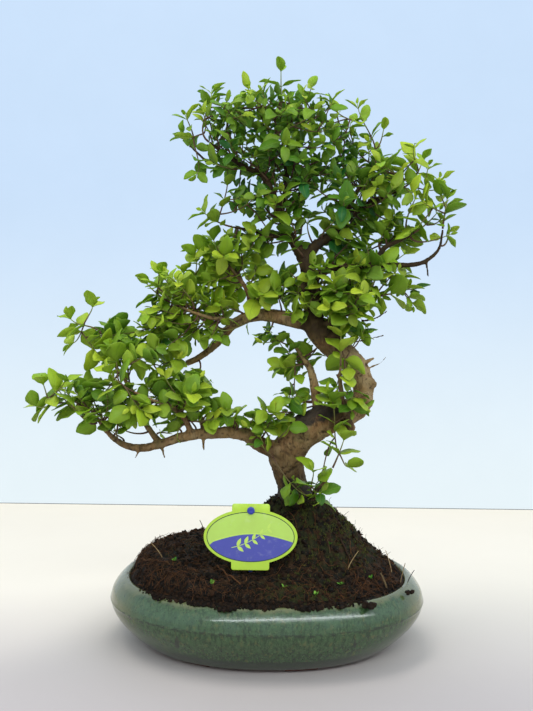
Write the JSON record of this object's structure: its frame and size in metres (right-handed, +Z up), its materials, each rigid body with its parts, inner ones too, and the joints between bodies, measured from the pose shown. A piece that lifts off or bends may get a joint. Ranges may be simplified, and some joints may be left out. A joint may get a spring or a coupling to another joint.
{
  "type": "privet bonsai in a pot",
  "caption": "Privet bonsai with a curved trunk and small leaf sprays, in a shallow oval glazed pot with a plain plant label in its soil.",
  "frame": {"origin": "middle of the pot's flat underside", "axes": "+Z up along the tree's height, +X to the tree's right seen from its front, -Y towards its front, where the label stands"},
  "size_m": [0.3968, 0.2268, 0.5524],
  "materials": {
    "glaze": "glossy speckled celadon glaze, brown where it thins at the rim",
    "soil": "matte, crumbly and fibrous",
    "bark": "rough living bark",
    "leaf_old": "waxy, slightly glossy",
    "leaf_young": "soft satin, lets light through",
    "label_print": "printed plastic sheet",
    "label_stick": "smooth moulded plastic",
    "root": "dry and fibrous"
  },
  "bodies": {
    "root": {"label_plate": "label_print", "label_stick": "label_stick", "pot": "glaze", "soil": "soil", "spray_01": "leaf_young", "spray_02": "leaf_young", "spray_03": "leaf_young", "spray_04": "leaf_old", "spray_05": "leaf_young", "spray_06": "leaf_young", "spray_07": "leaf_young", "spray_08": "leaf_old", "spray_09": "leaf_old", "spray_10": "leaf_old", "spray_11": "leaf_young", "spray_12": "leaf_old", "spray_13": "leaf_old", "spray_14": "leaf_old", "spray_15": "leaf_old", "spray_16": "leaf_old", "spray_17": "leaf_old", "spray_18": "leaf_old", "spray_19": "leaf_old", "spray_20": "leaf_old", "spray_21": "leaf_young", "spray_22": "leaf_old", "spray_23": "leaf_old", "spray_24": "leaf_young", "spray_25": "leaf_old", "spray_26": "leaf_old", "spray_27": "leaf_young", "spray_28": "leaf_old", "spray_29": "leaf_young", "spray_30": "leaf_old", "spray_31": "leaf_young", "spray_32": "leaf_young", "spray_33": "leaf_young", "spray_34": "leaf_old", "spray_35": "leaf_young", "spray_36": "leaf_old", "spray_37": "leaf_old", "spray_38": "leaf_old", "spray_39": "leaf_young", "spray_40": "leaf_old", "spray_41": "leaf_young", "spray_42": "leaf_old", "spray_43": "leaf_young", "spray_44": "leaf_old", "spray_45": "leaf_old", "spray_46": "leaf_old", "spray_47": "leaf_young", "spray_48": "leaf_old", "spray_49": "leaf_old", "spray_50": "leaf_young", "surface_root_front": "root", "surface_root_left": "root", "surface_root_right": "root", "trunk_and_limbs": "bark"}
  },
  "joints": []
}
